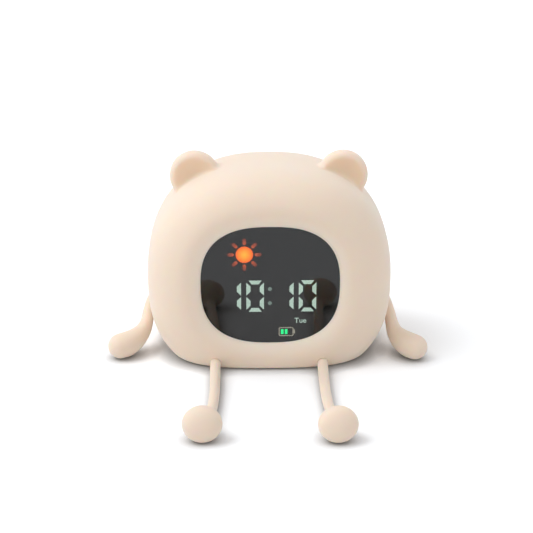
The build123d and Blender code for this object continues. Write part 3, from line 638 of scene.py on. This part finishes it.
tint = add_node(tree, "ShaderNodeMix", {
    "Factor": speck.outputs["Fac"], COLOUR_A: linear("7D7062"), COLOUR_B: linear("8B7E70"),
}, data_type="RGBA")
tree.links.new(tint.outputs[COLOUR_OUT], shader.inputs["Base Color"])
gloss = add_node(tree, "ShaderNodeMapRange", {
    "Value": speck.outputs["Fac"], "To Min": 0.5, "To Max": 0.65})
tree.links.new(gloss.outputs["Result"], shader.inputs["Roughness"])

sign_tree = bpy.data.node_groups.new("bars_round_a_hub", "GeometryNodeTree")
sign_inputs = {}
for label in ("Bar Count", "Ring Radius", "Bar Length", "Bar Width", "Hub Radius", "Thickness"):
    kind = "NodeSocketInt" if label == "Bar Count" else "NodeSocketFloat"
    socket = sign_tree.interface.new_socket(label, in_out="INPUT", socket_type=kind)
    sign_inputs[label] = socket.identifier
sign_tree.interface.new_socket("Geometry", in_out="OUTPUT", socket_type="NodeSocketGeometry")
given = add_node(sign_tree, "NodeGroupInput").outputs
block = add_node(sign_tree, "ShaderNodeCombineXYZ", {
    0: given["Bar Length"], 1: given["Bar Width"], 2: given["Thickness"]})
bar = add_node(sign_tree, "GeometryNodeMeshCube", {"Size": block.outputs[0]})
half = add_node(sign_tree, "ShaderNodeMath", {
    0: given["Bar Length"], 1: 0.5, 2: given["Ring Radius"]}, operation="MULTIPLY_ADD")
shift = add_node(sign_tree, "ShaderNodeCombineXYZ", {0: half.outputs[0]})
placed = add_node(sign_tree, "GeometryNodeTransform", {
    "Geometry": bar.outputs["Mesh"], "Translation": shift.outputs[0]})
spots = add_node(sign_tree, "GeometryNodeMeshLine", {
    "Count": given["Bar Count"], "Offset": (0, 0, 0)})
index = add_node(sign_tree, "GeometryNodeInputIndex")
share = add_node(sign_tree, "ShaderNodeMath", {
    0: index.outputs[0], 1: given["Bar Count"]}, operation="DIVIDE")
angle = add_node(sign_tree, "ShaderNodeMath", {
    0: share.outputs[0], 1: 2 * math.pi}, operation="MULTIPLY")
turn = add_node(sign_tree, "ShaderNodeCombineXYZ", {2: angle.outputs[0]})
bars = add_node(sign_tree, "GeometryNodeInstanceOnPoints", {
    "Points": spots.outputs[0], "Instance": placed.outputs[0], "Rotation": turn.outputs[0]})
disc = add_node(sign_tree, "GeometryNodeMeshCylinder", {
    "Vertices": HUB_SIDES, "Radius": given["Hub Radius"], "Depth": given["Thickness"]})
kept = add_node(sign_tree, "ShaderNodeMath", {
    0: given["Hub Radius"], 1: LEAST_HUB * MM}, operation="GREATER_THAN")
hub = add_node(sign_tree, "GeometryNodeSwitch", {
    "Switch": kept.outputs[0], "True": disc.outputs["Mesh"]}, input_type="GEOMETRY")
joined = add_node(sign_tree, "GeometryNodeJoinGeometry", {"Geometry": bars.outputs[0]})
sign_tree.links.new(hub.outputs[0], joined.inputs[0])
whole = add_node(sign_tree, "GeometryNodeRealizeInstances", {"Geometry": joined.outputs[0]})
inked = add_node(sign_tree, "GeometryNodeSetMaterial", {
    "Geometry": whole.outputs[0], "Material": ink})
add_node(sign_tree, "NodeGroupOutput", {"Geometry": inked.outputs[0]})

for button in ("minus", "plus", "light", "clock", "sound"):
    low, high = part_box("button_" + button)
    points, faces = [], []
    if button in SIGNS:
        count, *lengths = SIGNS[button]
        holder = new_piece("sign_bars", bpy.data.meshes.new("sign_bars"))
        maker = holder.modifiers.new("bars", "NODES")
        maker.node_group = sign_tree
        maker[sign_inputs["Bar Count"]] = count
        for label, size in zip(("Ring Radius", "Bar Length", "Bar Width", "Hub Radius"), lengths):
            maker[sign_inputs[label]] = size * MM
        maker[sign_inputs["Thickness"]] = INK * MM
        made = plain_mesh(holder)
        points = [tuple(v.co / MM) for v in made.vertices]
        faces = [tuple(f.vertices) for f in made.polygons]
        holder.modifiers.clear()
        bpy.data.objects.remove(holder)
    for x0, z0, x1, z1, width in STROKES.get(button, ()):
        along = Vector((x1 - x0, z1 - z0)).normalized()
        side = Vector((-along.y, along.x)) * width / 2
        first = len(points)
        for level in (-INK / 2, INK / 2):
            for x, z, sign in ((x0, z0, 1), (x0, z0, -1), (x1, z1, -1), (x1, z1, 1)):
                points.append((x + sign * side.x, z + sign * side.y, level))
        for face in BAR_FACES:
            faces.append(tuple(first + corner for corner in face))
    middle_x, middle_z = (low[0] + high[0]) / 2, (low[2] + high[2]) / 2
    spots = [(middle_x + x * MM, high[1] + (INK / 4 - level) * MM, middle_z + z * MM)
             for x, z, level in points]
    mesh = bpy.data.meshes.new("sign_" + button)
    mesh.from_pydata(spots, [], faces)
    mesh.materials.append(ink)
    piece = new_piece("sign_" + button, mesh)
    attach(piece, "button_" + button)

# Screws, charging socket, battery contacts and speaker magnet: plated steel and nickel strip, with
# faint rolling marks drawn out along one direction. Each has two colours and a roughness.
METALS = {
    "zinc_plated_steel": (("panel_screws", "housing_screws", "display_screws", "board_screws",
                           "speaker_magnet"), "9C9B98", "B2B1AE", 0.34),
    "tin_plated_steel": (("usb_socket",), "B6B5B2", "C4C3C0", 0.28),
    "nickel_strip": (("battery_contacts",), "BFBAAE", "CBC7BC", 0.3),
}
MARK_SIZE = 0.6
MARK_STRETCH = (0.2, 1.0, 1.0)
METAL_GLOSS_SPREAD = 0.08
for name, (nodes, first, second, roughness) in METALS.items():
    metal, tree, shader = new_finish(name)
    shader.inputs["Metallic"].default_value = 1.0
    place = add_node(tree, "ShaderNodeTexCoord")
    drawn = add_node(tree, "ShaderNodeMapping", {
        "Vector": place.outputs["Object"], "Scale": MARK_STRETCH})
    marks = add_node(tree, "ShaderNodeTexNoise", {
        "Vector": drawn.outputs["Vector"], "Scale": 1 / (MARK_SIZE * MM), "Detail": 3.0})
    tint = add_node(tree, "ShaderNodeMix", {
        "Factor": marks.outputs["Fac"], COLOUR_A: linear(first), COLOUR_B: linear(second),
    }, data_type="RGBA")
    tree.links.new(tint.outputs[COLOUR_OUT], shader.inputs["Base Color"])
    gloss = add_node(tree, "ShaderNodeMapRange", {
        "Value": marks.outputs["Fac"], "To Min": roughness - METAL_GLOSS_SPREAD,
        "To Max": roughness + METAL_GLOSS_SPREAD})
    tree.links.new(gloss.outputs["Result"], shader.inputs["Roughness"])
    dress(nodes, metal)

# Floor: a seamless sheet of white paper that keeps the soft shadows. Next to what stands on it its
# colour is darkened, a painted contact shadow where an occlusion probe finds things close by. To
# the eye it is brightened to plain white; the light that it throws back on the clock is that of a
# matt paper.
SHEET_SIZE = 12.0
SHEET_WHITE, SHEET_MATT = (1.12, 1.14, 1.17), (0.8, 0.8, 0.8, 1)
PAINTED_CONTACT_SHADOW = dict(reach=11, samples=8, closed=0.3, open=0.92, darkest=0.38)
bpy.ops.mesh.primitive_plane_add(size=SHEET_SIZE, location=(0, 0, 0))
floor = bpy.context.object
floor.name = "white_sheet"
paper = bpy.data.materials.new("white_paper_sheet")
paper.use_nodes = True
tree = paper.node_tree
tree.nodes.clear()
# Painted shadow: the sheet's colour is darkened where things stand close to it.
near = add_node(tree, "ShaderNodeAmbientOcclusion", {
    "Distance": PAINTED_CONTACT_SHADOW["reach"] * MM}, samples=PAINTED_CONTACT_SHADOW["samples"])
painted_shadow = add_node(tree, "ShaderNodeMapRange", {
    "Value": near.outputs["AO"], "From Min": PAINTED_CONTACT_SHADOW["closed"], "From Max": PAINTED_CONTACT_SHADOW["open"],
    "To Min": PAINTED_CONTACT_SHADOW["darkest"]})
tint = add_node(tree, "ShaderNodeVectorMath", {
    0: SHEET_WHITE, "Scale": painted_shadow.outputs["Result"]}, operation="SCALE")
lit = add_node(tree, "ShaderNodeBsdfDiffuse", {"Color": tint.outputs["Vector"]})
matt = add_node(tree, "ShaderNodeBsdfDiffuse", {"Color": SHEET_MATT})
ray = add_node(tree, "ShaderNodeLightPath").outputs
seen = add_node(tree, "ShaderNodeMath", {
    0: ray["Is Camera Ray"], 1: ray["Is Glossy Ray"]}, operation="MAXIMUM")
seen = add_node(tree, "ShaderNodeMath", {
    0: seen.outputs[0], 1: ray["Is Transmission Ray"]}, operation="MAXIMUM")
sheet = add_node(tree, "ShaderNodeMixShader", {
    0: seen.outputs[0], 1: matt.outputs[0], 2: lit.outputs[0]})
add_node(tree, "ShaderNodeOutputMaterial", {"Surface": sheet.outputs[0]})
floor.data.materials.append(paper)

# Light: a white room that is a little darker on the right, and one broad soft source high on the
# left. The room is plain white where it is seen, mirrored or looked through to.
WHITE = (1, 1, 1, 1)
ROOM = dict(left=0.795, right=0.7, shown=1.0)
KEY = dict(strength=1.2, spread=40, direction=(0.85, 0.03, -1.0))
world = bpy.data.worlds.new("white_room")
bpy.context.scene.world = world
world.use_nodes = True
tree = world.node_tree
tree.nodes.clear()
place = add_node(tree, "ShaderNodeTexCoord")
side = add_node(tree, "ShaderNodeSeparateXYZ", {"Vector": place.outputs["Generated"]})
level = add_node(tree, "ShaderNodeMapRange", {
    "Value": side.outputs["X"], "To Min": ROOM["left"], "To Max": ROOM["right"]})
fill = add_node(tree, "ShaderNodeBackground", {"Color": WHITE, "Strength": level.outputs["Result"]})
shown = add_node(tree, "ShaderNodeBackground", {"Color": WHITE, "Strength": ROOM["shown"]})
ray = add_node(tree, "ShaderNodeLightPath").outputs
seen = add_node(tree, "ShaderNodeMath", {
    0: ray["Is Camera Ray"], 1: ray["Is Glossy Ray"]}, operation="MAXIMUM")
seen = add_node(tree, "ShaderNodeMath", {
    0: seen.outputs[0], 1: ray["Is Transmission Ray"]}, operation="MAXIMUM")
room = add_node(tree, "ShaderNodeMixShader", {
    0: seen.outputs[0], 1: fill.outputs[0], 2: shown.outputs[0]})
add_node(tree, "ShaderNodeOutputWorld", {"Surface": room.outputs[0]})
key = bpy.data.lights.new("soft_key", "SUN")
key.energy = KEY["strength"]
key.angle = math.radians(KEY["spread"])
lamp = new_piece("soft_key", key)
lamp.rotation_euler = Vector(KEY["direction"]).to_track_quat("-Z", "Y").to_euler()

# Camera: a long lens about 20 degrees above level and a little to the left, where the photograph
# was taken from. The place and the aim were fitted to the clock's outline in it.
EYE = dict(lens=104.6, sensor=36.0, far_end=50.0, place=(-17.65, -842.82, 370.19),
           aim=(-1.33, 0.0, 45.73))
eye = bpy.data.cameras.new("eye")
eye.lens = EYE["lens"]
eye.sensor_width = EYE["sensor"]
eye.clip_end = EYE["far_end"]
camera = new_piece("eye", eye)
camera.location = Vector(EYE["place"]) * MM
aim = Vector(EYE["aim"]) * MM
camera.rotation_euler = (aim - camera.location).to_track_quat("-Z", "Y").to_euler()
bpy.context.scene.camera = camera
bpy.context.scene.view_settings.view_transform = "Standard"
